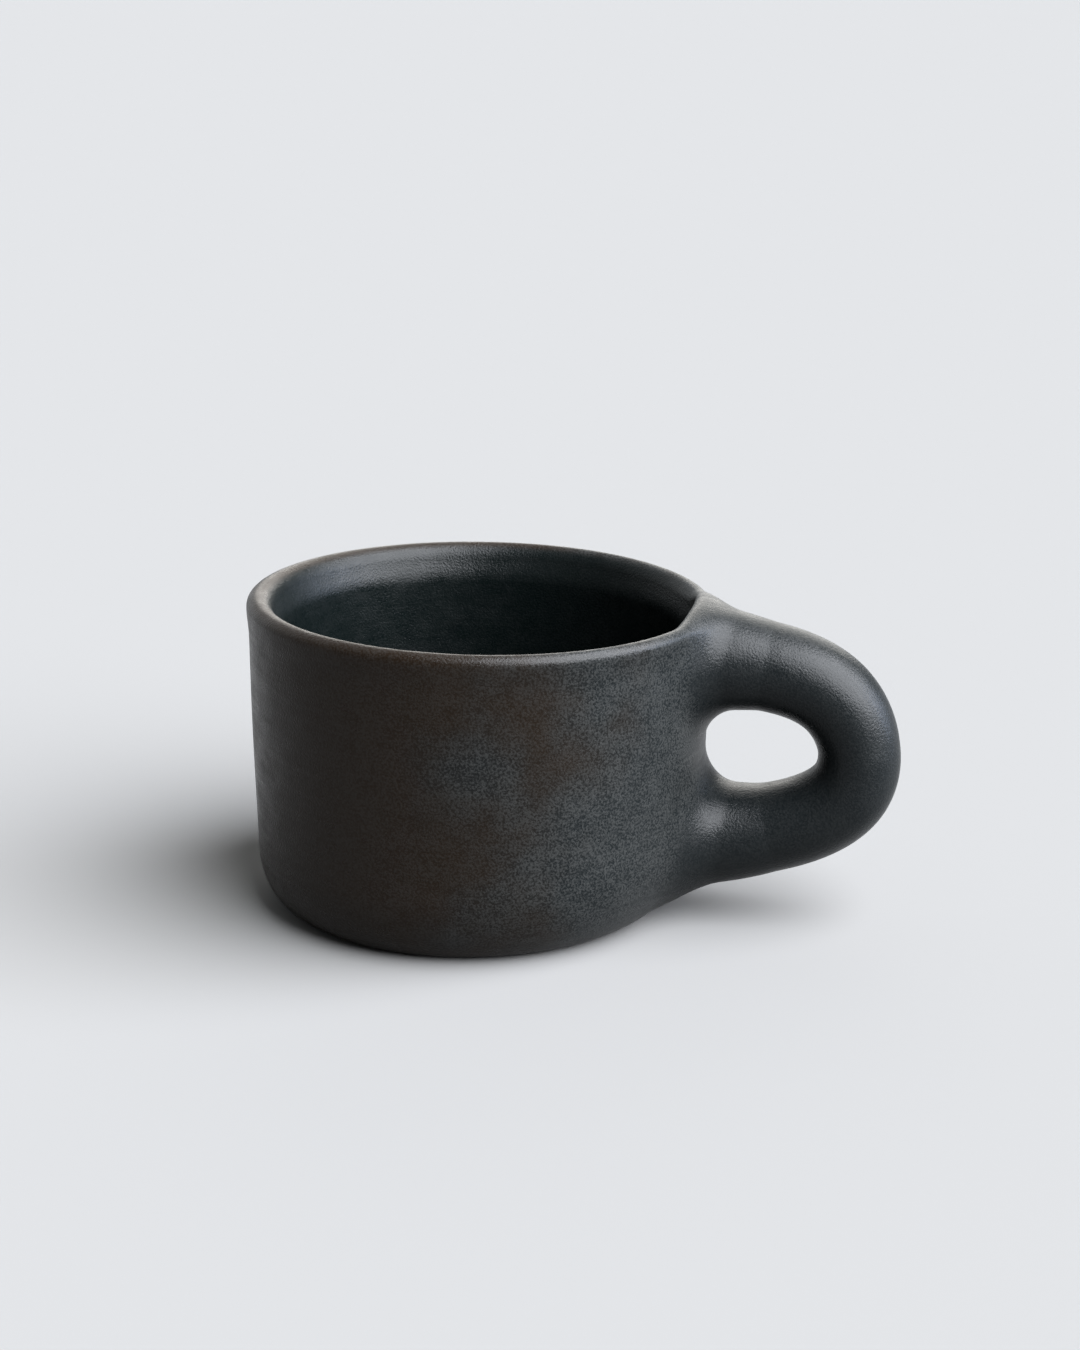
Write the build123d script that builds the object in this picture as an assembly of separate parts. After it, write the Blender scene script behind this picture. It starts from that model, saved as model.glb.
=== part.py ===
from build123d import *
import os

# Hand-built black clay mug: a squat cup with one thick round loop handle.
#
# Millimetres, +Z up. The origin is the centre of the resting face, and the handle
# stands out along +X. Each node is one piece of clay as a potter would lay it:
# floor slab, wall, rim coil, the coil pressed into the floor corner, the handle
# coil, and the clay worked round each of the handle's roots.

# Cup
rim_diameter = 95.0
foot_diameter = 91.0            # where the straight taper of the wall would meet the table
cup_height = 63.6
wall_thickness = 4.5
floor_thickness = 7.0
foot_rounding = 11.0
lip_rounding = 2.2
rim_coil_height = 6.0
floor_seam_reach = 8.0          # leg of the coil pressed into the floor corner
seam_feather = 0.4              # thickness left at that coil's thin edges

# Handle: a round coil in the XZ plane, straight runs joined by tangent arcs
coil_diameter = 17.4
root_depth = 38.0               # both ends start inside the wall and are cut back to it
upper_root = (root_depth, 53.2)
upper_knee = (67.6, 52.2)
outer_knee = (82.0, 34.2)
lower_knee = (67.0, 18.6)
lower_root = (root_depth, 16.6)
upper_knee_radius = 18.0
outer_knee_radius = 16.0
lower_knee_radius = 17.0

# Clay blended round the handle's roots
upper_blend_radius = 11.0
lower_blend_radius = 8.0
blend_feather = 0.4             # thickness left at the blend's thin edge
blend_sink = 1.0                # how far the full flare is sunk in the wall
blend_top_step = 1.2            # how far the upper blend stays below the lip
blend_foot_gap = 3.0            # how far the lower blend stays above the table

rim_radius = rim_diameter / 2
foot_radius = foot_diameter / 2
coil_radius = coil_diameter / 2
mouth_clearance = 1.0           # the cavity's solid runs this far out of the mouth
wider_than_mug = 4 * rim_diameter
arc_middle = 0.5 ** 0.5         # sine and cosine of 45 degrees, for the middle of an arc


def outer_radius(height):
    """Radius of the tapered outside at a height, without the rounded edges."""
    return foot_radius + (rim_radius - foot_radius) * height / cup_height


def cone_between(radius_low, radius_high, low, high):
    """Solid of revolution about Z with a straight slanted side."""
    outline = Polyline((0, low), (radius_low, low), (radius_high, high), (0, high), close=True)
    return revolve(Plane.XZ * make_face(outline), Axis.Z)


def cup_outside():
    """The cup as a solid lump, foot and lip rounded."""
    lump = cone_between(foot_radius, rim_radius, 0, cup_height)
    edges = lump.edges().filter_by(GeomType.CIRCLE).sort_by(Axis.Z)
    lump = fillet(edges[0], foot_rounding)
    edges = lump.edges().filter_by(GeomType.CIRCLE).sort_by(Axis.Z)
    return fillet(edges[-1], lip_rounding)


def cup_cavity():
    """The space inside, from the floor up through the mouth."""
    above = cup_height + mouth_clearance
    return cone_between(
        outer_radius(floor_thickness) - wall_thickness,
        outer_radius(above) - wall_thickness,
        floor_thickness,
        above,
    )


def cup_shell():
    """Floor, wall and rim in one, with the mouth's inner edge rounded."""
    shell = cup_outside() - cup_cavity()
    mouth = shell.edges().filter_by(GeomType.CIRCLE).group_by(Axis.Z)[-1].sort_by(SortBy.RADIUS)[0]
    return fillet(mouth, lip_rounding)


def level_slice(shape, low, high):
    """The part of a shape between two heights."""
    slab = Pos(0, 0, (low + high) / 2) * Box(wider_than_mug, wider_than_mug, high - low)
    return shape & slab


def floor_seam_coil():
    """Ring pressed into the corner between floor and wall, with a hollow face."""
    corner = outer_radius(floor_thickness) - wall_thickness
    top = floor_thickness + floor_seam_reach
    wall_side = outer_radius(top) - wall_thickness
    middle = floor_seam_reach * (1 - arc_middle)
    face = ThreePointArc(
        (wall_side - seam_feather, top),
        (corner - middle, floor_thickness + middle),
        (corner - floor_seam_reach, floor_thickness + seam_feather),
    )
    back = Polyline(
        face @ 1,
        (corner - floor_seam_reach, floor_thickness),
        (corner, floor_thickness),
        (wall_side, top),
        face @ 0,
    )
    return revolve(Plane.XZ * make_face([*face.edges(), *back.edges()]), Axis.Z)


def handle_coil():
    """The whole handle coil, ends still buried in the wall."""
    path = Plane.XZ * FilletPolyline(
        upper_root,
        upper_knee,
        outer_knee,
        lower_knee,
        lower_root,
        radius=[upper_knee_radius, outer_knee_radius, lower_knee_radius],
    )
    section = Plane(origin=path @ 0, z_dir=path % 0) * Circle(coil_radius)
    return sweep(section, path=path)


def root_blend(root, knee, blend_radius):
    """Trumpet of clay round one arm, with its full flare just inside the curved wall."""
    start = Vector(root[0], 0, root[1])
    along = (Vector(knee[0], 0, knee[1]) - start).normalized()
    flare = coil_radius + blend_radius
    wall_beside = (outer_radius(root[1]) ** 2 - flare ** 2) ** 0.5
    mouth = wall_beside - root_depth - blend_sink
    curve_middle = blend_radius * arc_middle
    face = ThreePointArc(
        (mouth, flare),
        (mouth + blend_radius - curve_middle, flare - curve_middle),
        (mouth + blend_radius, coil_radius + blend_feather),
    )
    back = Polyline(face @ 1, (mouth + blend_radius, 0), (0, 0), (0, flare), face @ 0)
    arm = Plane(origin=start, x_dir=along, z_dir=(0, -1, 0))
    trumpet = revolve(arm * make_face([*face.edges(), *back.edges()]), Axis(start, along))
    return trumpet - cup_outside() - handle_coil()


def build_parts():
    """Every node of the mug by name."""
    shell = cup_shell()
    rim_low = cup_height - rim_coil_height
    upper_blend = root_blend(upper_root, upper_knee, upper_blend_radius)
    lower_blend = root_blend(lower_root, lower_knee, lower_blend_radius)
    return {
        "base_slab": level_slice(shell, 0, floor_thickness),
        "cup_wall": level_slice(shell, floor_thickness, rim_low),
        "rim_coil": level_slice(shell, rim_low, cup_height),
        "floor_seam_coil": floor_seam_coil(),
        "handle_loop": handle_coil() - cup_outside(),
        "upper_handle_blend": level_slice(upper_blend, 0, cup_height - blend_top_step),
        "lower_handle_blend": level_slice(lower_blend, blend_foot_gap, cup_height),
    }


os.makedirs("parts", exist_ok=True)
for name, piece in build_parts().items():
    piece.label = name
    export_step(piece, f"parts/{name}.step")
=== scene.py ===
"""A squat hand-built mug in burnished, smoke-blackened clay, with one thick loop handle.

A potter lays the mug up from a floor slab, a wall, a rim coil and a handle coil, and then works
every joint away, so that the outside is one smooth form. The form is written here as a distance
in millimetres, meshed once, and cut apart where the pieces of clay meet. The handle coil is swept
along its own path and settled on the same form, and a coil pressed into the floor corner is turned
as a ring. Pieces that meet share their edges and take their shading from the form itself.
"""

import logging
import math
from collections.abc import Callable
from dataclasses import dataclass, field
from enum import Enum
from functools import partial

import bmesh
import bpy
import numpy as np
from mathutils import Matrix, Vector


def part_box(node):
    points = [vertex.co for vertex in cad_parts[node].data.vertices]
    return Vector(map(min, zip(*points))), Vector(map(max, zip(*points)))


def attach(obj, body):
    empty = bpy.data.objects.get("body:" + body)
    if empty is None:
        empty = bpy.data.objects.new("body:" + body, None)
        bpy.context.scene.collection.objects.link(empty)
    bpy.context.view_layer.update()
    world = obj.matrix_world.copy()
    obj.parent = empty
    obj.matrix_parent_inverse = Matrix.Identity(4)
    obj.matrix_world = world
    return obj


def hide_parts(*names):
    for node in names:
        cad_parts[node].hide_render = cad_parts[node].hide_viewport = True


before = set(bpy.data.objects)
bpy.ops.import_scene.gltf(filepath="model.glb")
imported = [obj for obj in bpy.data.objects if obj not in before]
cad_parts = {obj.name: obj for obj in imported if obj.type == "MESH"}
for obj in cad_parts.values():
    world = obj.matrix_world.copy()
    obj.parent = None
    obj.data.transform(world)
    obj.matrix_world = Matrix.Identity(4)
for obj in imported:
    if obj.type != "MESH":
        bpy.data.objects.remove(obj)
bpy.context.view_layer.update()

MM = 0.001                      # one millimetre in the scene's metres
BODY = "root"                   # nothing on a mug moves, so every piece rides on one body

Array = np.ndarray
Distance = Callable[[Array], Array]
Source = bpy.types.Node | bpy.types.NodeSocket
Inputs = dict[str | int, object] | tuple

log = logging.getLogger("mug")


# ---------------------------------------------------------------- the form of the clay


def fill_corner(first: Array, second: Array, radius: Array | float) -> Array:
    """Joins two forms and fills the corner between them with a round of clay.

    Args:
        first: Distances to the first form, negative inside it.
        second: Distances to the second form.
        radius: Radius of the filled corner.

    Returns:
        Distances to the joined form.
    """
    near_first = np.maximum(radius - first, 0)
    near_second = np.maximum(radius - second, 0)
    return np.maximum(radius, np.minimum(first, second)) - np.hypot(near_first, near_second)


def round_edge(first: Array, second: Array, radius: Array | float) -> Array:
    """Keeps what two forms share and rounds the edge between them.

    Args:
        first: Distances to the first form, negative inside it.
        second: Distances to the second form.
        radius: Radius of the rounded edge.

    Returns:
        Distances to the shared form.
    """
    past_first = np.maximum(first + radius, 0)
    past_second = np.maximum(second + radius, 0)
    return np.minimum(-radius, np.maximum(first, second)) + np.hypot(past_first, past_second)


def ease(value: Array, start: float, end: float) -> Array:
    """A smooth step from 0 at start to 1 at end."""
    share = np.clip((value - start) / (end - start), 0, 1)
    return share * share * (3 - 2 * share)


def box_mm(node: str) -> tuple[Vector, Vector]:
    """Lowest and highest corner of a CAD node, in millimetres."""
    low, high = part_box(node)
    return low / MM, high / MM


@dataclass(frozen=True)
class CupForm:
    """The cup: a straight-sided pot with a soft foot and a rounded lip. Millimetres.

    Attributes:
        rim_radius: Outside radius at the lip.
        height: Height of the lip over the table.
        floor: Height of the floor inside.
        rim_start: Height at which the last coil was laid on.
        wall: Thickness of the wall at the lip.
        wall_unevenness: Share by which the wall is thicker away from the handle.
        wall_taper: How much thicker the wall gets with each millimetre down.
        waist_share: Radius halfway up, as a share of the lip's.
        foot_share: Radius that the wall would have at the table, as a share of the lip's.
        lip_bead: How far the lip was pressed out.
        lip_bead_below: How far under the lip's top that is.
        lip_bead_reach: How far it reaches up and down.
        lip_bevel: How far the inner edge was wiped back into a soft slope.
        lip_bevel_reach: How far down that slope runs.
        inner_round: Rounding of the lip's inner edge.
        lip_lean: How far the lip dips at the handle, and rises on the far side.
        out_of_round: Share by which the cup is narrower along the handle and wider across it.
        foot_round_in: How far in the foot's rounding reaches.
        foot_round_up: How far up it reaches.
        foot_unevenness: Share by which the foot was paddled rounder under the handle.
        foot_hollow: How far the underside is pressed up, inside a resting ring.
        foot_hollow_flat: Radius within which that hollow is flat.
        foot_hollow_reach: Radius at which it ends.
        floor_corner: Rounding between wall and floor.
        press_depth: Depth of the hollows left by the fingers.
    """

    rim_radius: float
    height: float
    floor: float
    rim_start: float
    wall: float = 4.3
    wall_unevenness: float = 0.15
    wall_taper: float = 0.01
    waist_share: float = 0.983
    foot_share: float = 0.958
    lip_bead: float = 0.35
    lip_bead_below: float = 2.2
    lip_bead_reach: float = 3.2
    lip_bevel: float = 1.5
    lip_bevel_reach: float = 8.0
    inner_round: float = 3.0
    lip_lean: float = 0.4
    out_of_round: float = 0.010
    foot_round_in: float = 9.0
    foot_round_up: float = 15.0
    foot_unevenness: float = 0.27
    foot_hollow: float = 0.6
    foot_hollow_flat: float = 14.0
    foot_hollow_reach: float = 31.0
    floor_corner: float = 1.5
    press_depth: float = 0.10

    @classmethod
    def from_frame(cls) -> "CupForm":
        """The cup that fills the CAD nodes of the floor, the wall and the rim."""
        rim_low, rim_high = box_mm("rim_coil")
        return cls(
            rim_radius=(rim_high.y - rim_low.y) / 2,
            height=rim_high.z,
            floor=box_mm("base_slab")[1].z,
            rim_start=rim_low.z,
        )

    def press_marks(self, turn: Array, level: Array) -> Array:
        """Shallow hollows over the wall: three broad ones round it, and seven narrow ones."""
        broad = np.sin(3 * turn + 0.6) * np.sin(level / 15 + 0.4)
        narrow = np.sin(7 * turn - level / 19 + 2.1) * np.sin(level / 8 + 1.0)
        return self.press_depth * (broad + 0.6 * narrow)

    def outer_radius(self, turn: Array, level: Array) -> Array:
        """Outside radius, from the angle round the axis and the height."""
        share = np.clip(level / self.height, -0.2, 1.2)
        top = self.rim_radius - self.lip_bead
        taper = (
            self.foot_share * self.rim_radius * (1 - share) * (1 - 2 * share)
            + self.waist_share * self.rim_radius * 4 * share * (1 - share)
            + top * share * (2 * share - 1)
        )
        under_lip = (self.height - self.lip_bead_below - level) / self.lip_bead_reach
        bead = self.lip_bead * np.exp(-under_lip ** 2)
        oval = 1 - self.out_of_round * np.cos(2 * turn)
        return taper * oval + bead + self.press_marks(turn, level)

    def lip_height(self, turn: Array) -> Array:
        """Height of the lip, which isn't quite level."""
        return self.height - self.lip_lean * np.cos(turn)

    def thickness(self, turn: Array, level: Array) -> Array:
        """Thickness of the wall, which grows towards the floor."""
        spread = 1 - self.wall_unevenness * np.cos(turn)
        below_lip = self.lip_height(turn) - level
        bevel = self.lip_bevel * ease(below_lip, 0, self.lip_bevel_reach)
        return self.wall * spread + bevel + self.wall_taper * np.maximum(below_lip, 0)

    def outside(self, points: Array) -> Array:
        """Distance to the cup as a solid lump."""
        turn = np.arctan2(points[:, 1], points[:, 0])
        level = points[:, 2]
        from_axis = np.hypot(points[:, 0], points[:, 1])
        side = from_axis - self.outer_radius(turn, level)
        lump = round_edge(side, level - self.lip_height(turn), self.wall / 2)
        slope = self.foot_round_in / self.foot_round_up
        rounding = self.foot_round_in * (1 + self.foot_unevenness * np.cos(turn + 0.09))
        hollow = self.foot_hollow * (1 - ease(from_axis, self.foot_hollow_flat, self.foot_hollow_reach))
        return np.maximum(lump, round_edge(side, (hollow - level) * slope, rounding))

    def hollow(self, points: Array) -> Array:
        """Distance to the space inside."""
        turn = np.arctan2(points[:, 1], points[:, 0])
        level = points[:, 2]
        inner = self.outer_radius(turn, level) - self.thickness(turn, level)
        side = np.hypot(points[:, 0], points[:, 1]) - inner
        return round_edge(side, self.floor - level, self.floor_corner)


@dataclass(frozen=True)
class HandleForm:
    """The handle coil: round, thick, and swelling towards its roots. Millimetres.

    Attributes:
        reach: How far the coil's outside is from the cup's axis.
        upper: Height of the coil's middle at the upper root.
        lower: Height of the coil's middle at the lower root.
        start: Distance from the cup's axis at which the coil begins inside the wall.
        root_radius: Radius of the coil at its two roots.
        arm_radius: Radius of its two arms.
        outer_radius: Radius of its outermost stretch.
        widening: How much wider the coil is than it is thick.
        steps_per_span: Straight steps that stand for a span in the first search.
    """

    reach: float
    upper: float
    lower: float
    start: float
    root_radius: float = 11.5
    arm_radius: float = 8.9
    outer_radius: float = 8.15
    widening: float = 1.15
    steps_per_span: int = 5

    @classmethod
    def from_frame(cls) -> "HandleForm":
        """The handle that fills the CAD node of the handle coil."""
        low, high = box_mm("handle_loop")
        coil_radius = (high.y - low.y) / 2
        return cls(
            reach=high.x,
            upper=high.z - coil_radius,
            lower=low.z + coil_radius,
            start=low.x - 9,
        )

    def route(self) -> Array:
        """Control points of the coil's middle line, in the XZ plane, from the upper root."""
        return np.array(
            [
                (self.start, self.upper + 0.3),
                (self.start + 16, self.upper + 0.4),
                (self.reach - 10.1, self.upper - 3.3),
                (self.reach - 4.3, self.lower + 7.2),
                (self.start + 16, self.lower - 1.8),
                (self.start, self.lower + 0.5),
            ]
        )

    def spine(self) -> Array:
        """The control points with one more at each end, so that the curve reaches both roots."""
        route = self.route()
        return np.vstack([2 * route[0] - route[1], route, 2 * route[-1] - route[-2]])

    @property
    def spans(self) -> int:
        """Number of curved spans in the middle line."""
        return len(self.route()) - 1

    def follow(self, along: Array) -> tuple[Array, Array, Array]:
        """Follows the middle line, which is a uniform cubic B-spline.

        Args:
            along: Places on the line, in spans from the upper root.

        Returns:
            The (x, z) points there, and the line's first and second derivatives.
        """
        span = np.clip(along.astype(int), 0, self.spans - 1)
        t = (along - span)[:, None]
        held = self.spine()[span[:, None] + np.arange(4)]
        place = [(1 - t) ** 3, 3 * t ** 3 - 6 * t ** 2 + 4, -3 * t ** 3 + 3 * t ** 2 + 3 * t + 1, t ** 3]
        run = [-((1 - t) ** 2), 3 * t ** 2 - 4 * t, -3 * t ** 2 + 2 * t + 1, t ** 2]
        bend = [1 - t, 3 * t - 2, 1 - 3 * t, t]
        return (
            sum(w * held[:, i] for i, w in enumerate(place)) / 6,
            sum(w * held[:, i] for i, w in enumerate(run)) / 2,
            sum(w * held[:, i] for i, w in enumerate(bend)),
        )

    def nearest(self, flat: Array) -> Array:
        """Finds the nearest place on the middle line, first roughly and then by Newton's method.

        Args:
            flat: Points (x, z) in the handle's plane.

        Returns:
            Places on the line, in spans from the upper root.
        """
        rough = np.linspace(0, self.spans, self.spans * self.steps_per_span + 1)
        line = self.follow(rough)[0]
        best = np.full(len(flat), np.inf)
        along = np.zeros(len(flat))
        for i, (start, end) in enumerate(zip(line[:-1], line[1:])):
            run = end - start
            share = np.clip(((flat - start) @ run) / (run @ run), 0, 1)
            gap = ((flat - start - share[:, None] * run) ** 2).sum(1)
            nearer = gap < best
            best = np.where(nearer, gap, best)
            along = np.where(nearer, (i + share) / self.steps_per_span, along)
        for _ in range(2):
            point, run, bend = self.follow(along)
            offset = point - flat
            speed = (run ** 2).sum(1)
            steep = np.maximum(speed + (offset * bend).sum(1), 0.3 * speed)
            along = np.clip(along - (offset * run).sum(1) / steep, 0, self.spans)
        return along

    def thickness(self, along: Array) -> Array:
        """Radius of the coil, which is thinnest at its outermost stretch."""
        stations = np.array((0.08, 0.25, 0.5, 0.75, 0.92)) * self.spans
        root, arm = self.root_radius, self.arm_radius
        return np.interp(along, stations, (root, arm, self.outer_radius, arm, root))

    def distance(self, points: Array) -> Array:
        """Distance to the coil, before its ends are worked into the wall."""
        flat = points[:, [0, 2]]
        along = self.nearest(flat)
        offset = flat - self.follow(along)[0]
        side = points[:, 1] / self.widening
        return np.sqrt((offset ** 2).sum(1) + side ** 2) - self.thickness(along)

    def place(self, points: Array) -> Array:
        """Where points lie in the coil: along it, across it in its plane, and to its side."""
        flat = points[:, [0, 2]]
        along = self.nearest(flat)
        fine = np.linspace(0, self.spans, 401)
        steps = np.hypot(*np.diff(self.follow(fine)[0], axis=0).T)
        length = np.interp(along, fine, np.concatenate([[0], np.cumsum(steps)]))
        point, run, _ = self.follow(along)
        offset = flat - point
        across = (run[:, 0] * offset[:, 1] - run[:, 1] * offset[:, 0]) / np.hypot(*run.T)
        return np.stack([length, across, points[:, 1]], axis=1)


@dataclass(frozen=True)
class MugForm:
    """The whole mug as one form: cup and handle joined, and the joints worked smooth.

    Attributes:
        cup: The cup's form.
        handle: The handle's form.
        upper_fill: Radius of the clay filled in round the upper root.
        upper_fill_behind: The same, on the root's far side.
        lower_fill: Radius of the clay filled in round the lower root.
        brow: How far the handle may rise over the lip.
        brow_tilt: Slope of the neck's flat top, which leans forwards.
        brow_round: Rounding of that top's edges.
        reach_of_handle: The handle changes nothing nearer the axis than this.
    """

    cup: CupForm
    handle: HandleForm
    upper_fill: float = 6.0
    upper_fill_behind: float = 6.0
    lower_fill: float = 7.2
    brow: float = 1.3
    brow_tilt: float = 0.05
    brow_round: float = 2.5
    reach_of_handle: float = 20.0

    FILL_START = 20         # height at which the lower root's fill starts to turn into the upper's
    FILL_RISE = 25          # and the height that this takes
    BEHIND_START = -2       # how far back the upper root's far side starts
    BEHIND_REACH = 8
    UPPER_START = 40        # height at which the upper root starts
    UPPER_RISE = 10

    def fill_radius(self, points: Array) -> Array:
        """Radius of the filled corner, which changes with the height from root to root."""
        up = np.clip((points[:, 2] - self.FILL_START) / self.FILL_RISE, 0, 1)
        radius = self.lower_fill + (self.upper_fill - self.lower_fill) * up
        behind = np.clip((points[:, 1] - self.BEHIND_START) / self.BEHIND_REACH, 0, 1)
        behind *= np.clip((points[:, 2] - self.UPPER_START) / self.UPPER_RISE, 0, 1)
        return radius + (self.upper_fill_behind - radius) * behind

    def distance(self, points: Array) -> Array:
        """Distance to the clay, negative inside it."""
        solid = self.cup.outside(points)
        near = points[:, 0] > self.reach_of_handle
        reached = points[near]
        coil = self.handle.distance(reached)
        top = self.cup.height + self.brow + self.brow_tilt * reached[:, 1]
        coil = round_edge(coil, reached[:, 2] - top, self.brow_round)
        solid[near] = fill_corner(solid[near], coil, self.fill_radius(reached))
        solid = np.maximum(solid, -points[:, 2])
        return round_edge(solid, -self.cup.hollow(points), self.cup.inner_round)

    def gradient(self, points: Array) -> Array:
        """Direction in which the distance grows, which is the way out of the clay."""
        small = 0.02
        slopes = [
            self.distance(points + small * step) - self.distance(points - small * step)
            for step in np.eye(3)
        ]
        return np.stack(slopes, axis=1) / (2 * small)

    def settle(self, points: Array, rounds: int = 2) -> Array:
        """Moves points onto the clay's surface."""
        for _ in range(rounds):
            slope = self.gradient(points)
            steep = np.maximum((slope ** 2).sum(1), 0.1)
            points = points - slope * (self.distance(points) / steep)[:, None]
        return points

    def normals(self, points: Array) -> Array:
        """Unit directions out of the clay."""
        slope = self.gradient(points)
        return slope / np.linalg.norm(slope, axis=1)[:, None]


# ---------------------------------------------------------------- meshes


def surface_net(distance: Distance, low: Array, high: Array, step: float) -> tuple[Array, Array]:
    """Meshes the zero surface of a distance with one vertex in each cell that it crosses.

    Args:
        distance: Gives the distances of an array of points.
        low: Lowest corner of the grid.
        high: Highest corner of the grid.
        step: Size of a cell.

    Returns:
        The vertices, and quads of vertex numbers that face outwards.
    """
    counts = np.ceil((np.asarray(high) - low) / step).astype(int) + 1
    axes = [low[i] + step * np.arange(counts[i]) for i in range(3)]
    values = np.empty(counts)
    for i, x in enumerate(axes[0]):
        slab = np.stack(np.meshgrid([x], axes[1], axes[2], indexing="ij"), axis=-1)
        values[i] = distance(slab.reshape(-1, 3)).reshape(counts[1:])
    inside = values < 0

    corners = [(i, j, k) for i in (0, 1) for j in (0, 1) for k in (0, 1)]
    window = {c: tuple(slice(o, n - 1 + o) for o, n in zip(c, counts)) for c in corners}
    total = np.zeros((*(counts - 1), 3))
    crossings = np.zeros(counts - 1, int)
    for first in corners:
        for axis in range(3):
            if first[axis]:
                continue
            second = tuple(1 if i == axis else o for i, o in enumerate(first))
            crossed = inside[window[first]] != inside[window[second]]
            start, end = values[window[first]][crossed], values[window[second]][crossed]
            spot = np.tile(np.array(first, float), (len(start), 1))
            spot[:, axis] = start / (start - end)
            total[crossed] += spot
            crossings += crossed
    active = crossings > 0
    cells = np.argwhere(active)
    vertices = low + step * (cells + total[active] / crossings[active][:, None])

    number = np.full(counts - 1, -1)
    number[active] = np.arange(len(cells))
    quads = []
    for axis in range(3):
        order = (axis, (axis + 1) % 3, (axis + 2) % 3)
        near, cell = inside.transpose(order), number.transpose(order)
        lower, upper = near[:-1, 1:-1, 1:-1], near[1:, 1:-1, 1:-1]
        i, j, k = np.nonzero(lower != upper)
        ring = np.stack([cell[i, j, k], cell[i, j + 1, k], cell[i, j + 1, k + 1], cell[i, j, k + 1]], 1)
        leaving = lower[i, j, k]
        quads.append(np.where(leaving[:, None], ring, ring[:, ::-1]))
    return vertices, np.vstack(quads)


def even_out(vertices: Array, quads: Array, rounds: int, form: MugForm) -> Array:
    """Slides vertices along the surface until the quads are even.

    Args:
        vertices: The mesh's vertices.
        quads: The mesh's faces.
        rounds: How often each vertex moves towards its neighbours.
        form: The form whose surface they stay on.

    Returns:
        The moved vertices.
    """
    edges = np.vstack([quads[:, [i, (i + 1) % 4]] for i in range(4)])
    count = len(vertices)
    links = np.bincount(edges[:, 0], minlength=count)[:, None]
    for _ in range(rounds):
        pull = [np.bincount(edges[:, 0], vertices[edges[:, 1], i], count) for i in range(3)]
        move = np.stack(pull, axis=1) / links - vertices
        out = form.normals(vertices)
        move -= out * (move * out).sum(1)[:, None]
        vertices = form.settle(vertices + 0.6 * move, rounds=1)
    return vertices


@dataclass(frozen=True)
class Cut:
    """A flat cut through the clay.

    Attributes:
        point: A point on the cut, in millimetres.
        keep: Direction of the side that is kept.
    """

    point: tuple[float, float, float]
    keep: tuple[float, float, float]


def cut_and_cap(clay: bmesh.types.BMesh, cut: Cut) -> None:
    """Cuts a closed mesh along a plane and closes it again with a flat face.

    Args:
        clay: The mesh, changed in place.
        cut: The plane and the side to keep.
    """
    outward = -Vector(cut.keep)
    parts = [*clay.verts, *clay.edges, *clay.faces]
    made = bmesh.ops.bisect_plane(
        clay, geom=parts, dist=1e-5, plane_co=cut.point, plane_no=outward, clear_outer=True
    )
    rim = [e for e in made["geom_cut"] if isinstance(e, bmesh.types.BMEdge) and e.is_boundary]
    if not rim:
        return
    cap = bmesh.ops.triangle_fill(clay, edges=rim, use_beauty=True, normal=outward)
    for face in cap["geom"]:
        if isinstance(face, bmesh.types.BMFace):
            face.normal_update()
            face.smooth = False
            if face.normal.dot(outward) < 0:
                face.normal_flip()


# Millimetres from the pot, from its inner skin and over the table between which a mark fades.
HANDLE_FADE = (-0.3, 2.0)
INSIDE_FADE = (0.5, 1.6)
WORN_FADE = (0.05, 0.9)


def mark_places(mesh: bpy.types.Mesh, points: Array, form: MugForm) -> None:
    """Stores where each vertex lies on the mug, for the finish to follow.

    Args:
        mesh: The mesh that gets the attributes.
        points: Its vertices in millimetres.
        form: The form that the places are measured on.
    """
    place = mesh.attributes.new("coil_place", "FLOAT_VECTOR", "POINT")
    place.data.foreach_set("vector", form.handle.place(points).ravel())
    on_handle = ease(form.cup.outside(points), *HANDLE_FADE)
    inside = 1 - ease(np.abs(form.cup.hollow(points)), *INSIDE_FADE)
    worn = 1 - ease(points[:, 2], *WORN_FADE)
    worked = mesh.attributes.new("worked", "FLOAT_VECTOR", "POINT")
    worked.data.foreach_set("vector", np.stack([on_handle, inside, worn], axis=1).ravel())


def to_piece(name: str, clay: bmesh.types.BMesh, form: MugForm) -> bpy.types.Object:
    """Turns cut clay into a piece in metres that is shaded by the form's own curves.

    Args:
        name: The piece's name.
        clay: The closed mesh in millimetres, with its cut faces flat. It is used up.
        form: The form that gives the shading and the places.

    Returns:
        The new object.
    """
    mesh = bpy.data.meshes.new(name)
    clay.to_mesh(mesh)
    clay.free()
    points = read_points(mesh)
    corner_vertex = np.empty(len(mesh.loops), int)
    mesh.loops.foreach_get("vertex_index", corner_vertex)
    shading = form.normals(points)[corner_vertex]
    smooth = np.empty(len(mesh.polygons), bool)
    sizes = np.empty(len(mesh.polygons), int)
    facing = np.empty(len(mesh.polygons) * 3)
    mesh.polygons.foreach_get("use_smooth", smooth)
    mesh.polygons.foreach_get("loop_total", sizes)
    mesh.polygons.foreach_get("normal", facing)
    on_cut = np.repeat(~smooth, sizes)
    shading[on_cut] = np.repeat(facing.reshape(-1, 3), sizes, axis=0)[on_cut]
    mark_places(mesh, points, form)
    mesh.vertices.foreach_set("co", (points * MM).ravel())
    mesh.normals_split_custom_set(shading)
    return new_piece(name, mesh)


def read_points(mesh: bpy.types.Mesh) -> Array:
    """The vertices of a mesh as rows of three numbers."""
    points = np.empty(len(mesh.vertices) * 3)
    mesh.vertices.foreach_get("co", points)
    return points.reshape(-1, 3)


def new_piece(name: str, mesh: bpy.types.Mesh | bpy.types.Curve) -> bpy.types.Object:
    """Puts a mesh or a curve into the scene, at the origin."""
    piece = bpy.data.objects.new(name, mesh)
    bpy.context.scene.collection.objects.link(piece)
    return piece


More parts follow.
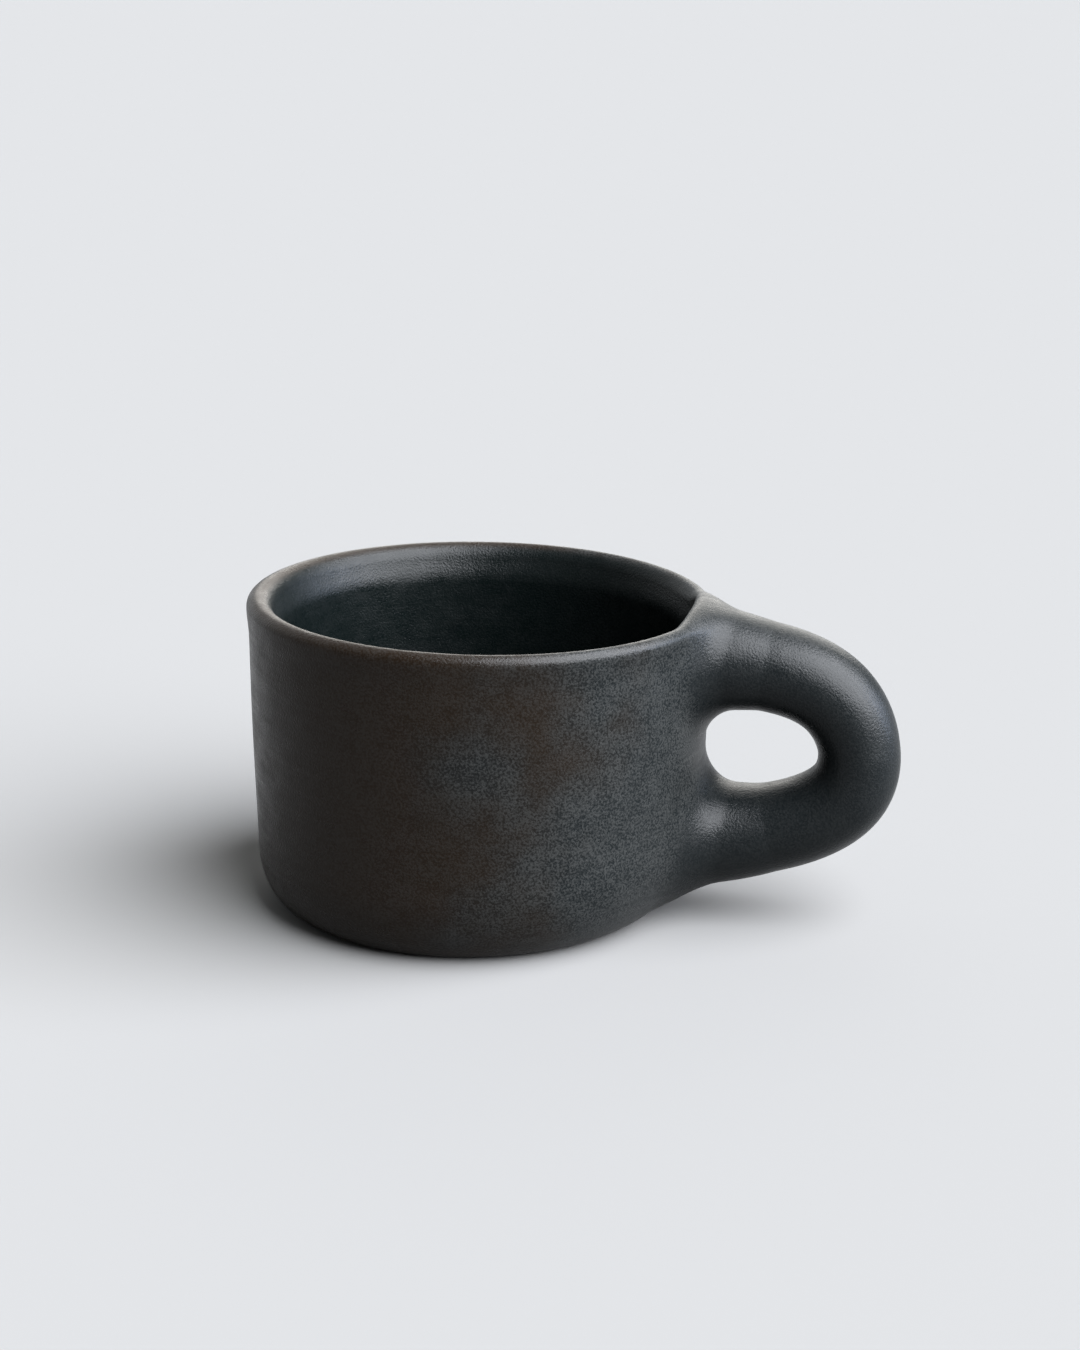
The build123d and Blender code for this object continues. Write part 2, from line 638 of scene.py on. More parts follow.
class ClayBlank:
    """The whole mug meshed once, ready to be cut into its pieces."""

    def __init__(self, form: MugForm, step: float = 0.8) -> None:
        """Meshes the form.

        Args:
            form: The form to mesh.
            step: Size of the mesh's faces in millimetres.
        """
        self.form = form
        room = 3 * step
        cup, handle = form.cup, form.handle
        low = np.array([-cup.rim_radius - room, -cup.rim_radius - room, -room])
        high = np.array([handle.reach + room, cup.rim_radius + room, cup.height + 2 * room])
        vertices, quads = surface_net(form.distance, low, high, step)
        vertices = even_out(form.settle(vertices), quads, 3, form)
        self.mesh = bpy.data.meshes.new("clay_blank")
        self.mesh.from_pydata(vertices.tolist(), [], quads.tolist())
        self.mesh.polygons.foreach_set("use_smooth", np.ones(len(quads), bool))
        log.info("clay blank: %d vertices, %d faces", len(vertices), len(quads))

    def piece(self, name: str, cuts: list[Cut]) -> bpy.types.Object:
        """Cuts one piece out of the blank.

        Args:
            name: The piece's name.
            cuts: The flat cuts that bound it.

        Returns:
            The closed piece.
        """
        clay = bmesh.new()
        clay.from_mesh(self.mesh)
        for cut in cuts:
            cut_and_cap(clay, cut)
        return to_piece(name, clay, self.form)


# ---------------------------------------------------------------- node trees


def linear(colour: str) -> tuple[float, float, float, float]:
    """Turns an sRGB hex colour such as #1c1b1a into the linear colour that shaders take."""
    shares = [int(colour[i:i + 2], 16) / 255 for i in (1, 3, 5)]
    return (*[c / 12.92 if c <= 0.04045 else ((c + 0.055) / 1.055) ** 2.4 for c in shares], 1.0)


def add_node(tree: bpy.types.NodeTree, kind: str, inputs: Inputs = (), **settings: object) -> bpy.types.Node:
    """Adds a node to a tree with its settings and links.

    Args:
        tree: The tree that gets the node.
        kind: Blender's name for the node's type.
        inputs: What its inputs take, by name or number, or in order. Each is a plain value, another
            node's output, or another node, which stands for its first output in use.
        **settings: The node's own settings.

    Returns:
        The new node.
    """
    node = tree.nodes.new(kind)
    for name, value in settings.items():
        setattr(node, name, value)
    for name, value in (inputs if isinstance(inputs, dict) else dict(enumerate(inputs))).items():
        if isinstance(value, bpy.types.Node):
            value = next(output for output in value.outputs if output.enabled)
        if isinstance(value, bpy.types.NodeSocket):
            tree.links.new(value, node.inputs[name])
        else:
            node.inputs[name].default_value = value
    return node


class CoilTree:
    """Geometry nodes that lay a coil of clay along a path and press it at even distances."""

    SOCKETS = {
        "Path": "NodeSocketGeometry",
        "Section": "NodeSocketObject",
        "Step": "NodeSocketFloat",
        "Press Spacing": "NodeSocketFloat",
        "Press Depth": "NodeSocketFloat",
        "Clay": "NodeSocketMaterial",
    }

    def __init__(self) -> None:
        """Builds the tree."""
        self.tree = bpy.data.node_groups.new("laid_coil", "GeometryNodeTree")
        self.tree.is_modifier = True
        for name, kind in self.SOCKETS.items():
            self.tree.interface.new_socket(name, in_out="INPUT", socket_type=kind)
        self.tree.interface.new_socket("Coil", in_out="OUTPUT", socket_type="NodeSocketGeometry")
        self.wire()

    def wire(self) -> None:
        """Adds the nodes, from the path to the finished coil."""
        add = partial(add_node, self.tree)
        given = add("NodeGroupInput").outputs
        path = {"Curve": given["Path"], "Length": given["Step"]}
        laid = add("GeometryNodeResampleCurve", path, mode="LENGTH")
        along = add("GeometryNodeSplineParameter").outputs["Length"]
        presses = add("ShaderNodeMath", (along, given["Press Spacing"]), operation="DIVIDE")
        phase = add("ShaderNodeMath", (presses, math.tau), operation="MULTIPLY")
        wave = add("ShaderNodeMath", (phase,), operation="COSINE")
        pressed = add("ShaderNodeMath", (wave, given["Press Depth"], 1.0), operation="MULTIPLY_ADD")
        radius = add("GeometryNodeInputRadius")
        size = add("ShaderNodeMath", (radius, pressed), operation="MULTIPLY")
        section = add("GeometryNodeObjectInfo", {"Object": given["Section"]}).outputs["Geometry"]
        swept = {"Curve": laid, "Profile Curve": section, "Scale": size, "Fill Caps": True}
        coil = add("GeometryNodeCurveToMesh", swept)
        smooth = add("GeometryNodeSetShadeSmooth", {"Geometry": coil})
        real = add("GeometryNodeRealizeInstances", {"Geometry": smooth})
        dressed = add("GeometryNodeSetMaterial", {"Geometry": real, "Material": given["Clay"]})
        add("NodeGroupOutput", (dressed,))

    def lay(self, name: str, path: bpy.types.Object, sizes: dict[str, object]) -> bpy.types.Mesh:
        """Lays one coil and turns it into a plain mesh.

        Args:
            name: The mesh's name.
            path: The curve that the coil follows. It and the section are used up.
            sizes: The tree's other inputs by name.

        Returns:
            The coil's mesh.
        """
        modifier = path.modifiers.new("coil", "NODES")
        modifier.node_group = self.tree
        for item in self.tree.interface.items_tree:
            if item.in_out == "INPUT" and item.name in sizes:
                modifier[item.identifier] = sizes[item.name]
        laid = path.evaluated_get(bpy.context.evaluated_depsgraph_get())
        mesh = bpy.data.meshes.new_from_object(laid)
        mesh.name = name
        path.modifiers.remove(modifier)
        bpy.data.objects.remove(path)
        bpy.data.objects.remove(sizes["Section"])
        return mesh


def new_curve(name: str, points: Array, radii: Array | float, kind: str, closed: bool) -> bpy.types.Object:
    """Makes a curve of one spline.

    Args:
        name: The curve's name.
        points: The spline's points in metres.
        radii: The radius at each point, or at all of them.
        kind: "NURBS" for a smooth spline that passes by its points, or "POLY" for straight runs.
        closed: Whether the spline ends where it starts.

    Returns:
        The curve's object.
    """
    curve = bpy.data.curves.new(name, "CURVE")
    curve.dimensions = "3D"
    spline = curve.splines.new(kind)
    spline.points.add(len(points) - 1)
    spline.points.foreach_set("co", np.column_stack([points, np.ones(len(points))]).ravel())
    spline.points.foreach_set("radius", np.broadcast_to(radii, len(points)).astype(float))
    spline.use_cyclic_u = closed
    if kind == "NURBS":
        spline.order_u = 4
        spline.resolution_u = 16
    return new_piece(name, curve)


# ---------------------------------------------------------------- the finish


class Working(Enum):
    """How the surface of the clay was worked before the firing."""

    PEBBLE_BURNISHED = "pebble_burnished"
    FINGER_PRESSED = "finger_pressed"


@dataclass(frozen=True)
class Marks:
    """What the finish of the clay is mixed from, as nodes or outputs in its material's tree.

    Attributes:
        smoke: Share of thick smoke, which took the warmth out of the clay, with a painted light slope
        on top: low away from the handle for a painted warm reflection of a table, and high towards
        the handle for the window's painted cool, pale light.
        mottle: Blotches a few millimetres across.
        grain: The sand.
        dents: The pebble's shallow dents.
        strokes: The pebble's tracks.
        handle: How much of the point is on the handle.
        inside: How much of it lies on the cup's inner skin, which the floor coil's face is clear of; the
        colour is painted darker there, as painted shade.
        worn: How much the table has worn it.
    """

    smoke: Source
    mottle: Source
    grain: Source
    dents: Source
    strokes: Source
    handle: Source
    inside: Source
    worn: Source


@dataclass(frozen=True)
class SmokedClay:
    """Earthenware blackened in a smoky firing, with no glaze.

    The carbon goes right through the skin, so the clay looks near black everywhere: warm and
    brownish where the smoke was thin, cool where it was thick. On top of the smoke's random clouds,
    light is painted in: a warm painted reflection of a table on the side away from the handle, a
    cooler, paler clay with more pale grains towards the handle where the window lights it, and a
    darker inside as painted shade. Rubbing it with a pebble gives a satin gloss in strokes, with a
    fine grain of sand between them that never closes up.

    Attributes:
        working: How the surface was worked.
        warm: Colour where the smoke was thin, and the painted warm reflection of a table on the
            side away from the handle.
        cool: Colour where the smoke was thick, and the painted cool window light on the handle's side.
        dusty: Colour of the bare grains and of the ash that stays in rubbed places.
        inner: Darker colour on the cup's inner skin, painted shade for the dark inside of the cup.
        bareness: Share of the dusty colour on the barest grains.
        blotching: How much the blotches gather the bare grains.
        cloudiness: How much the clouds change the smoke's thickness.
        painted_light_slope: Painted light: how much the smoke share grows with each millimetre
        towards the handle, for the window's cooler, paler light there and a painted warm
        reflection of a table on the far side.
        roughness: Roughness between strokes.
        stroke_gloss: How much smoother a stroke is.
        dent_height: Depth of the pebble's dents in millimetres.
        grain_height: Height of the sand grains.
        stroke_height: Depth of the tracks.
        ior: Refractive index, low because the skin is porous.
        specular: Specular level that the pores leave, where 0.5 is all that the index gives.
    """

    working: Working = Working.PEBBLE_BURNISHED
    warm: str = "#100a05"
    cool: str = "#0a0d0e"
    dusty: str = "#373837"
    # Painted shade: the inside of the cup is given a darker colour for the shade in it.
    inner: str = "#030606"
    bareness: float = 0.36
    blotching: float = 0.22
    cloudiness: float = 0.6
    painted_light_slope: float = 0.006
    roughness: float = 0.36
    stroke_gloss: float = 0.06
    dent_height: float = 0.12
    grain_height: float = 0.10
    stroke_height: float = 0.008
    ior: float = 1.45
    specular: float = 0.13

    CLOUD_SIZE = 26.0       # millimetres across a cloud of smoke
    MOTTLE_SIZE = 4.5
    DENT_SIZE = 7.0
    GRAIN_SIZE = 0.42       # real grains are about 0.2 mm, drawn coarser so that they show
    STROKE_LENGTH = 15.0
    STROKE_WIDTH = 0.9      # the pebble's own tracks
    STROKE_DUST = 0.05      # how much the tracks catch the dust
    DUST_SPREAD = 0.16      # how gradually grains turn bare
    CLEAN_HANDLE = 0.75     # share of the dust that hands have rubbed off the handle
    CLEAN_INSIDE = 0.85

    @property
    def name(self) -> str:
        """The material's name, for what it is and how it was worked."""
        return f"smoked_earthenware_{self.working.value}"

    def material(self) -> bpy.types.Material:
        """Builds the material.

        Returns:
            The material, with its nodes.
        """
        material = bpy.data.materials.new(self.name)
        material.use_nodes = True
        tree = material.node_tree
        tree.nodes.clear()
        marks = self.marks(tree)
        finish = {
            "Base Color": self.colour(tree, marks),
            "Roughness": self.rough(tree, marks),
            "IOR": self.ior,
            "Specular IOR Level": self.specular,
            "Normal": self.relief(tree, marks),
        }
        shader = add_node(tree, "ShaderNodeBsdfPrincipled", finish)
        add_node(tree, "ShaderNodeOutputMaterial", {"Surface": shader})
        return material

    def marks(self, tree: bpy.types.NodeTree) -> Marks:
        """Lays out the patterns that the colour, the roughness and the relief share.

        The pebble's tracks run level round the cup, and along the coil on the handle. The smoke's
        clouds are random; a painted light slope on top of them makes the clay cooler and paler
        towards the handle, where the window lights it, and warmer away from it, as a painted
        reflection of a table.

        Args:
            tree: The material's tree.

        Returns:
            The patterns.
        """
        add = partial(add_node, tree)
        metres = add("ShaderNodeTexCoord").outputs["Object"]
        place = add("ShaderNodeMapping", {"Vector": metres, "Scale": (1 / MM,) * 3})
        on_coil = add("ShaderNodeAttribute", attribute_name="coil_place").outputs["Vector"]
        worked = add("ShaderNodeAttribute", attribute_name="worked").outputs["Vector"]
        handle, inside, worn = add("ShaderNodeSeparateXYZ", (worked,)).outputs
        long, narrow = 1 / self.STROKE_LENGTH, 1 / self.STROKE_WIDTH
        level = add("ShaderNodeMapping", {"Vector": place, "Scale": (long, long, narrow)})
        along = add("ShaderNodeMapping", {"Vector": on_coil, "Scale": (long, narrow, narrow)})

        patterns = []
        for vector, size, detail in (
            (place, self.CLOUD_SIZE, 3.0),
            (place, self.MOTTLE_SIZE, 4.0),
            (place, self.GRAIN_SIZE, 2.0),
            (place, self.DENT_SIZE, 1.0),
            (level, 1.0, 3.0),
            (along, 1.0, 3.0),
        ):
            noise = {"Vector": vector, "Scale": 1 / size, "Detail": detail, "Roughness": 0.55}
            patterns.append(add("ShaderNodeTexNoise", noise))
        clouds, mottle, grain, dents, round_cup, along_coil = patterns

        # Painted light: the smoke share grows towards the handle, so the clay there is cooler and has more
        # pale grains, as the window lights it, and it is warm away from the handle, as a painted reflection
        # of a table.
        across = add("ShaderNodeSeparateXYZ", (place,)).outputs["X"]
        slope = add("ShaderNodeMath", (across, self.painted_light_slope), operation="MULTIPLY")
        thick = add("ShaderNodeMath", (clouds, self.cloudiness, slope), operation="MULTIPLY_ADD")
        smoke = add("ShaderNodeMapRange", (thick, 0.27, 0.54, 0.0, 1.0), interpolation_type="SMOOTHSTEP")
        tracks = add("ShaderNodeMix", {0: handle, 2: round_cup, 3: along_coil}, data_type="FLOAT")
        strokes = add("ShaderNodeMapRange", (tracks, 0.36, 0.66, 0.0, 1.0), interpolation_type="SMOOTHSTEP")
        return Marks(smoke, mottle, grain, dents, strokes, handle, inside, worn)

    def colour(self, tree: bpy.types.NodeTree, marks: Marks) -> Source:
        """The clay's colour: smoke with painted light across it, the painted shade inside, bare dusty
            grains, and wear.

        Args:
            tree: The material's tree.
            marks: The patterns.

        Returns:
            The colour.
        """
        add = partial(add_node, tree)
        dusty = linear(self.dusty)
        # Painted light: the warm and cool mix follows the smoke share, which carries the painted light
        # slope.
        body = {0: marks.smoke, 6: linear(self.warm), 7: linear(self.cool)}
        body = add("ShaderNodeMix", body, data_type="RGBA")
        # Painted shade: the inner skin takes the darker inner colour.
        body = add("ShaderNodeMix", {0: marks.inside, 6: body, 7: linear(self.inner)}, data_type="RGBA")

        dust = add("ShaderNodeMath", (marks.mottle, self.blotching, marks.grain), operation="MULTIPLY_ADD")
        dust = add("ShaderNodeMath", (marks.strokes, self.STROKE_DUST, dust), operation="MULTIPLY_ADD")
        middle = (1 + self.blotching + self.STROKE_DUST) / 2
        low, high = middle - self.DUST_SPREAD, middle + self.DUST_SPREAD
        bare = (dust, low, high, 0.0, self.bareness)
        bare = add("ShaderNodeMapRange", bare, interpolation_type="SMOOTHSTEP")
        # Painted light: more pale grains where the smoke share is high, which the painted light slope puts
        # on the window's side, towards the handle.
        smoky = (marks.smoke, 0.0, 1.0, 0.35, 1.0)
        smoky = add("ShaderNodeMapRange", smoky, interpolation_type="SMOOTHSTEP")
        rubbed = add("ShaderNodeMath", (marks.handle, -self.CLEAN_HANDLE, 1.0), operation="MULTIPLY_ADD")
        closed = add("ShaderNodeMath", (marks.inside, -self.CLEAN_INSIDE, 1.0), operation="MULTIPLY_ADD")
        for share in (smoky, rubbed, closed):
            bare = add("ShaderNodeMath", (bare, share), operation="MULTIPLY")
        body = add("ShaderNodeMix", {0: bare, 6: body, 7: dusty}, data_type="RGBA")

        scuffs = (marks.grain, 0.35, 0.6, 0.2, 0.9)
        scuffs = add("ShaderNodeMapRange", scuffs, interpolation_type="SMOOTHSTEP")
        wear = add("ShaderNodeMath", (marks.worn, scuffs), operation="MULTIPLY")
        return add("ShaderNodeMix", {0: wear, 6: body, 7: dusty}, data_type="RGBA")

    def rough(self, tree: bpy.types.NodeTree, marks: Marks) -> Source:
        """The clay's roughness, smoother in the tracks and matt where it is worn.

        Args:
            tree: The material's tree.
            marks: The patterns.

        Returns:
            The roughness.
        """
        add = partial(add_node, tree)
        value = (marks.strokes, -self.stroke_gloss, self.roughness)
        value = add("ShaderNodeMath", value, operation="MULTIPLY_ADD")
        for pattern, low, high in ((marks.mottle, -0.04, 0.05), (marks.grain, -0.03, 0.04)):
            change = (pattern, 0.3, 0.7, low, high)
            change = add("ShaderNodeMapRange", change, interpolation_type="SMOOTHSTEP")
            value = add("ShaderNodeMath", (value, change), operation="ADD")
        return add("ShaderNodeMath", (marks.worn, 0.3, value), operation="MULTIPLY_ADD")

    def relief(self, tree: bpy.types.NodeTree, marks: Marks) -> Source:
        """The fine relief that the mesh is too coarse to hold.

        Args:
            tree: The material's tree.
            marks: The patterns.

        Returns:
            The shading direction.
        """
        height = 0.0
        for pattern, size in (
            (marks.dents, self.dent_height),
            (marks.grain, self.grain_height),
            (marks.strokes, self.stroke_height),
        ):
            height = add_node(tree, "ShaderNodeMath", (pattern, size, height), operation="MULTIPLY_ADD")
        return add_node(tree, "ShaderNodeBump", {"Height": height, "Strength": 1.0, "Distance": MM})


# ---------------------------------------------------------------- the mug's pieces


def fit_piece(piece: bpy.types.Object, clay: bpy.types.Material, *nodes: str) -> bpy.types.Object:
    """Dresses a piece and puts it on the body in place of its CAD nodes.

    Args:
        piece: The finished piece.
        clay: Its material.
        *nodes: The CAD nodes that it stands for.

    Returns:
        The same piece.
    """
    piece.data.materials.clear()
    piece.data.materials.append(clay)
    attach(piece, BODY)
    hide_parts(*nodes)
    return piece


@dataclass
class Cup:
    """The pot: floor slab, wall and rim coil, all cut from the blank.

    Attributes:
        blank: The meshed form.
        finish: The clay's finish.
        handle_side: Distance from the axis of the cut between the pot and the handle's roots.
    """

    blank: ClayBlank
    finish: SmokedClay
    handle_side: float = field(default_factory=lambda: box_mm("upper_handle_blend")[0].x)

    def cuts(self, low: float | None, high: float | None) -> list[Cut]:
        """The cuts round a layer of the pot, between two heights."""
        made = [Cut((self.handle_side, 0, 0), (-1, 0, 0))]
        if low is not None:
            made.append(Cut((0, 0, low), (0, 0, 1)))
        if high is not None:
            made.append(Cut((0, 0, high), (0, 0, -1)))
        return made

    def build(self) -> list[bpy.types.Object]:
        """Builds the slab, the wall and the rim.

        Returns:
            The three pieces.
        """
        form = self.blank.form.cup
        clay = self.finish.material()
        layers = {
            "base_slab": (None, form.floor),
            "cup_wall": (form.floor, form.rim_start),
            "rim_coil": (form.rim_start, None),
        }
        pieces = []
        for node, (low, high) in layers.items():
            piece = self.blank.piece(f"{node}_clay", self.cuts(low, high))
            pieces.append(fit_piece(piece, clay, node))
        return pieces


@dataclass
class FloorSeam:
    """The coil pressed into the corner between floor and wall, with its row of finger marks.

    Attributes:
        form: The mug's form, for the corner that it fills.
        tree: The nodes that lay the coil.
        finish: The clay's finish.
        reach: How far the coil runs up the wall and over the floor, in millimetres.
        bury: How far its back is pressed into the wall and the floor.
        feather: Thickness left at its thin edges.
        press_spacing: Distance between finger marks, a fingertip's width.
        press_depth: Share of the coil's size that each finger takes away.
        arc_steps: Points on the section's hollow face.
        path_points: Points on the circle that the coil follows.
        spacing: Length of the coil's faces.
    """

    form: MugForm
    tree: CoilTree
    finish: SmokedClay
    reach: float = field(default_factory=lambda: box_mm("floor_seam_coil")[1].z - box_mm("base_slab")[1].z)
    bury: float = 1.6
    feather: float = 0.12
    press_spacing: float = 9.0
    press_depth: float = 0.035
    arc_steps: int = 14
    path_points: int = 32
    spacing: float = 1.2

    def section(self) -> bpy.types.Object:
        """The coil's outline: a hollow face towards the cup and a back inside the clay."""
        thin, reach, back = self.feather, self.reach, self.bury
        turns = np.linspace(0, math.pi / 2, self.arc_steps)
        radius = reach - thin
        face = np.column_stack([-reach + radius * np.sin(turns), radius * np.cos(turns) - reach])
        outline = np.vstack([face, [(back, -reach), (back, back), (-reach, back)]])
        flat = np.column_stack([outline * MM, np.zeros(len(outline))])
        return new_curve("seam_section", flat, 1.0, "POLY", closed=True)

    def build(self) -> bpy.types.Object:
        """Lays the coil, then fits it to the hand-made corner.

        Returns:
            The coil.
        """
        cup = self.form.cup
        level = np.array([cup.floor])
        corner = (cup.outer_radius(np.zeros(1), level) - cup.thickness(np.zeros(1), level))[0]
        turns = np.linspace(0, math.tau, self.path_points, endpoint=False)
        circle = np.column_stack([np.cos(turns), np.sin(turns), np.zeros(len(turns))]) * corner * MM
        circle[:, 2] = cup.floor * MM
        clay = self.finish.material()
        mesh = self.tree.lay(
            "floor_seam_coil_clay",
            new_curve("corner", circle, 1.0, "NURBS", closed=True),
            {
                "Section": self.section(),
                "Step": self.spacing * MM,
                "Press Spacing": self.press_spacing * MM,
                "Press Depth": self.press_depth,
                "Clay": clay,
            },
        )
        points = read_points(mesh) / MM
        around = np.arctan2(points[:, 1], points[:, 0])
        mean = np.hypot(points[:, 0], points[:, 1]).max() - self.bury
        inner = cup.outer_radius(around, points[:, 2]) - cup.thickness(around, points[:, 2])
        points[:, :2] *= (inner / mean)[:, None]
        mark_places(mesh, points, self.form)
        mesh.vertices.foreach_set("co", (points * MM).ravel())
        return fit_piece(new_piece("floor_seam_coil_clay", mesh), clay, "floor_seam_coil")


@dataclass
class Handle:
    """The handle coil, laid along its path, and the clay worked round its two roots.

    Attributes:
        blank: The meshed form, which the roots are cut from.
        tree: The nodes that lay the coil.
        clay: The material of the pot, which the roots share.
        root_start: Distance from the axis at which the roots leave the pot.
        root_end: Distance at which the roots end and the free coil starts.
        around: Faces round the coil.
        spacing: Their length in millimetres.
        spare: Length that is settled with the coil and then cut away, in millimetres.
    """

    blank: ClayBlank
    tree: CoilTree
    clay: bpy.types.Material
    root_start: float = field(default_factory=lambda: box_mm("upper_handle_blend")[0].x)
    root_end: float = field(default_factory=lambda: box_mm("upper_handle_blend")[1].x + 2.5)
    around: int = 72
    spacing: float = 0.75
    spare: float = 2.0

    def section(self) -> bpy.types.Object:
        """The coil's outline for a radius of one, a little wider than it is thick."""
        turns = np.linspace(0, math.tau, self.around, endpoint=False)
        wide = self.blank.form.handle.widening
        ring = np.column_stack([np.cos(turns), wide * np.sin(turns), np.zeros(self.around)])
        return new_curve("coil_section", ring, 1.0, "POLY", closed=True)

    def coil(self) -> bpy.types.Object:
        """Lays the coil, settles it on the form and cuts it free of the roots.

        Returns:
            The coil.
        """
        form = self.blank.form
        handle = form.handle
        spine = handle.spine()
        path = np.column_stack([spine[:, 0], np.zeros(len(spine)), spine[:, 1]]) * MM
        radii = [handle.root_radius] * 3 + [handle.outer_radius] * 2 + [handle.root_radius] * 3
        mesh = self.tree.lay(
            "handle_loop_clay",
            new_curve("coil_path", path, np.array(radii) * MM, "NURBS", closed=False),
            {
                "Section": self.section(),
                "Step": self.spacing * MM,
                "Press Spacing": 1.0,
                "Press Depth": 0.0,
                "Clay": self.clay,
            },
        )
        clay = bmesh.new()
        clay.from_mesh(mesh)
        bmesh.ops.scale(clay, vec=(1 / MM,) * 3, verts=clay.verts)
        bpy.data.meshes.remove(mesh)
        cut_and_cap(clay, Cut((self.root_end - self.spare, 0, 0), (1, 0, 0)))
        points = np.array([v.co for v in clay.verts])
        for vertex, settled in zip(clay.verts, form.settle(points, rounds=4).tolist()):
            vertex.co = settled
        cut_and_cap(clay, Cut((self.root_end, 0, 0), (1, 0, 0)))
        return to_piece("handle_loop_clay", clay, form)

    def roots(self) -> list[bpy.types.Object]:
        """Cuts the two roots out of the blank.

        Returns:
            The upper and the lower root.
        """
        start = Cut((self.root_start, 0, 0), (1, 0, 0))
        end = Cut((self.root_end, 0, 0), (-1, 0, 0))
        handle = self.blank.form.handle
        middle = (0, 0, (handle.upper + handle.lower) / 2)
        above, below = Cut(middle, (0, 0, 1)), Cut(middle, (0, 0, -1))
        upper = self.blank.piece("upper_root_clay", [start, end, above])
        lower = self.blank.piece("lower_root_clay", [start, end, below])
        return [upper, lower]

    def build(self) -> list[bpy.types.Object]:
        """Builds the coil and its roots.

        Returns:
            The three pieces.
        """
        upper, lower = self.roots()
        return [
            fit_piece(self.coil(), self.clay, "handle_loop"),
            fit_piece(upper, self.clay, "upper_handle_blend"),
            fit_piece(lower, self.clay, "lower_handle_blend"),
        ]


# ---------------------------------------------------------------- the studio


@dataclass(frozen=True)
class Viewpoint:
    """Where the camera stands, in metres and degrees.

    Attributes:
        distance: Level distance from the cup's axis.
        height: Height over the table.
        azimuth: How far it stands round the cup, from -Y towards the handle.
        aim: How far it looks to the right of the axis.
        down: How far it looks down.
        roll: How far it is tipped.
        lens: Focal length in millimetres, on a sensor 36 mm wide.
    """

    distance: float = 0.486
    height: float = 0.1864
    azimuth: float = 12.0
    aim: float = 1.43
    down: float = 16.06
    roll: float = 0.72
    lens: float = 66.17

    def place(self) -> bpy.types.Object:
        """Sets the camera up.

        Returns:
            The camera.
        """
        camera = bpy.data.objects.new("camera", bpy.data.cameras.new("camera"))
        camera.data.lens = self.lens
        camera.data.sensor_width = 36.0
        camera.data.clip_start = 0.01
        camera.data.clip_end = 200.0
        round_cup = math.radians(self.azimuth)
        place = Vector(
            (self.distance * math.sin(round_cup), -self.distance * math.cos(round_cup), self.height)
        )
        turn = Matrix.Rotation(math.radians(self.azimuth - self.aim), 4, "Z")
        tip = Matrix.Rotation(math.radians(90 - self.down), 4, "X")
        roll = Matrix.Rotation(math.radians(self.roll), 4, "Z")
        camera.matrix_world = Matrix.Translation(place) @ turn @ tip @ roll
        bpy.context.scene.collection.objects.link(camera)
        bpy.context.scene.camera = camera
        return camera


@dataclass(frozen=True)
class Sun:
    """One soft light, far away.

    Attributes:
        name: The light's name.
        colour: Its colour.
        power: What it gives a surface that faces it, in watts a square metre.
        spread: How wide it looks, in degrees.
        azimuth: Where it hangs, from -Y towards the handle, in degrees.
        raised: How high, in degrees over the floor.
    """

    name: str
    colour: str
    power: float
    spread: float
    azimuth: float
    raised: float

    def hang(self) -> None:
        """Hangs the light."""
        light = bpy.data.lights.new(self.name, "SUN")
        light.energy = self.power
        light.angle = math.radians(self.spread)
        light.color = linear(self.colour)[:3]
        lamp = bpy.data.objects.new(self.name, light)
        turn = Matrix.Rotation(math.radians(self.azimuth), 4, "Z")
        tip = Matrix.Rotation(math.radians(90 - self.raised), 4, "X")
        lamp.matrix_world = turn @ tip
        bpy.context.scene.collection.objects.link(lamp)


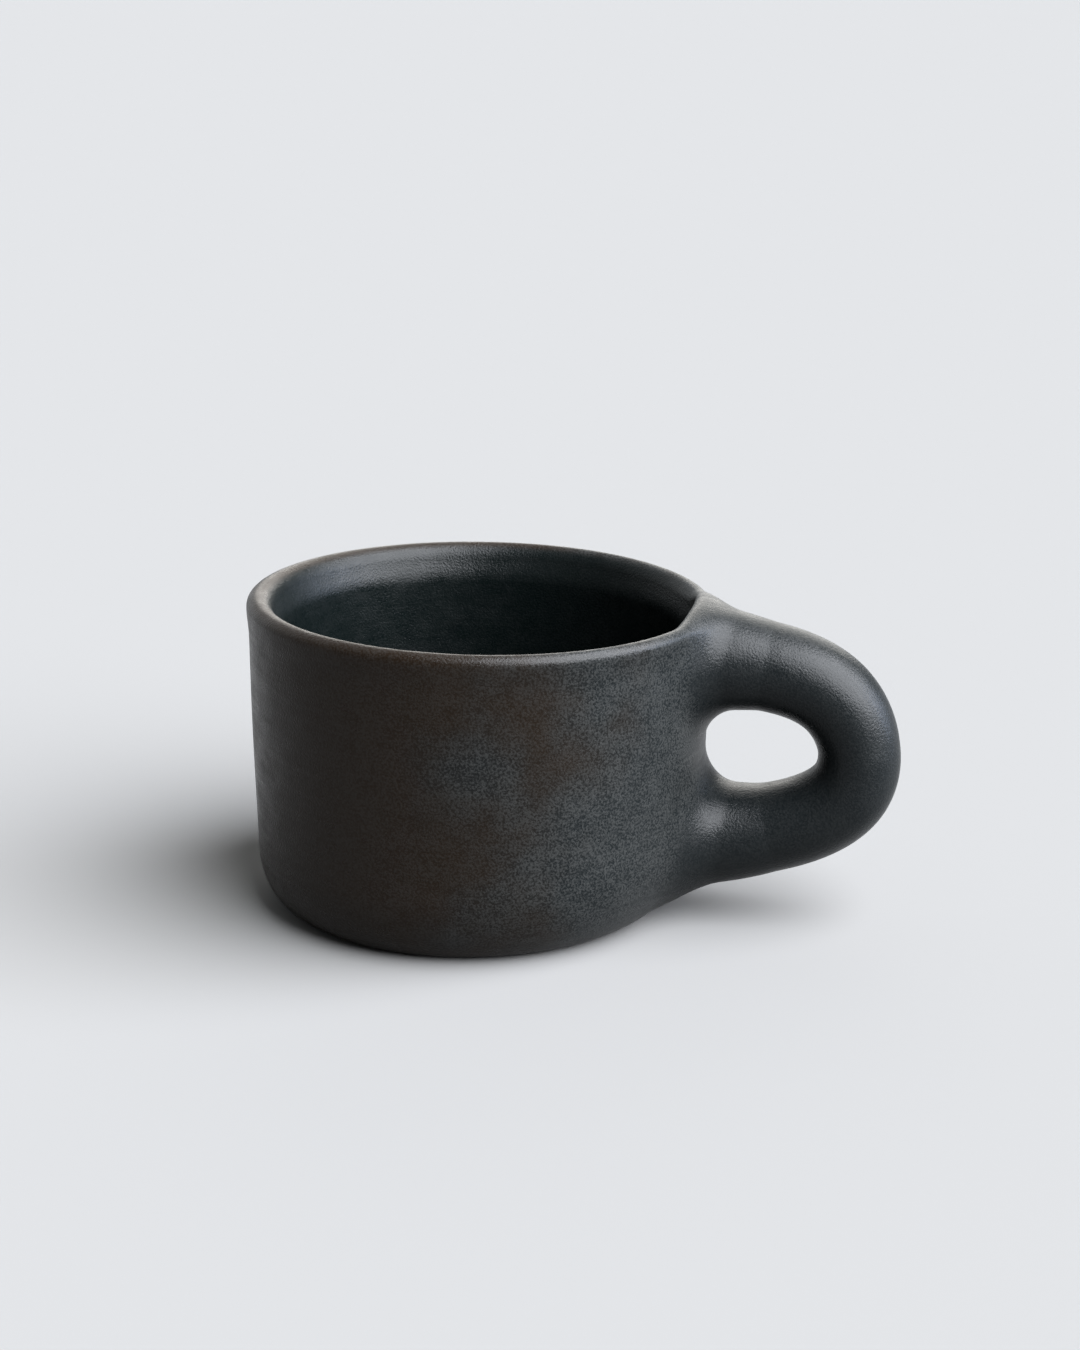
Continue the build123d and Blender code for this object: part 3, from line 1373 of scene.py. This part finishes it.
@dataclass(frozen=True)
class Studio:
    """A matt floor, a pale room and four soft lights.

    Attributes:
        floor_reach: Half the floor's width in metres, past the horizon of a low camera.
        floor_colour: The floor's colour, a mid grey that the window turns pale.
        room_colour: The room's colour.
        room: The room's brightness.
        suns: The lights.
    """

    floor_reach: float = 40.0
    floor_colour: str = "#626261"
    room_colour: str = "#f4f5f7"
    room: float = 0.35
    suns: tuple[Sun, ...] = (
        Sun("high_window", "#f7f9ff", power=26.0, spread=72.0, azimuth=76.0, raised=46.0),
        Sun("low_window", "#d6e4ff", power=2.0, spread=26.0, azimuth=112.0, raised=14.0),
        Sun("back_softbox", "#fffaf2", power=1.2, spread=44.0, azimuth=182.0, raised=24.0),
        Sun("pale_backdrop", "#eef3f6", power=1.6, spread=100.0, azimuth=212.0, raised=32.0),
    )

    def floor(self) -> bpy.types.Object:
        """Lays the floor.

        Returns:
            The floor.
        """
        reach = self.floor_reach
        mesh = bpy.data.meshes.new("floor")
        corners = [(-reach, -reach, 0), (reach, -reach, 0), (reach, reach, 0), (-reach, reach, 0)]
        mesh.from_pydata(corners, [], [(0, 1, 2, 3)])
        material = bpy.data.materials.new("matt_grey_paper")
        material.use_nodes = True
        shader = material.node_tree.nodes["Principled BSDF"]
        shader.inputs["Base Color"].default_value = linear(self.floor_colour)
        shader.inputs["Roughness"].default_value = 0.9
        shader.inputs["Specular IOR Level"].default_value = 0.0
        mesh.materials.append(material)
        floor = new_piece("floor", mesh)
        return floor

    def build(self) -> None:
        """Builds the room, the floor and the lights."""
        world = bpy.data.worlds.new("pale_room")
        world.use_nodes = True
        background = world.node_tree.nodes["Background"]
        background.inputs["Color"].default_value = linear(self.room_colour)
        background.inputs["Strength"].default_value = self.room
        scene = bpy.context.scene
        scene.world = world
        scene.view_settings.view_transform = "Standard"
        self.floor()
        for sun in self.suns:
            sun.hang()


def main() -> None:
    """Builds the mug piece by piece, then the studio."""
    logging.basicConfig(level=logging.INFO, format="%(name)s: %(message)s")
    Viewpoint().place()
    Studio().build()

    form = MugForm(CupForm.from_frame(), HandleForm.from_frame())
    blank = ClayBlank(form)
    tree = CoilTree()
    burnished = SmokedClay()
    pressed = SmokedClay(
        working=Working.FINGER_PRESSED, roughness=0.56, stroke_gloss=0.04, grain_height=0.02
    )
    pieces = Cup(blank, burnished).build()
    clay = pieces[0].data.materials[0]
    pieces += Handle(blank, tree, clay).build()
    pieces.append(FloorSeam(form, tree, pressed).build())
    bpy.data.meshes.remove(blank.mesh)
    for piece in pieces:
        log.info("%s: %d faces", piece.name, len(piece.data.polygons))


if __name__ == "__main__":
    main()
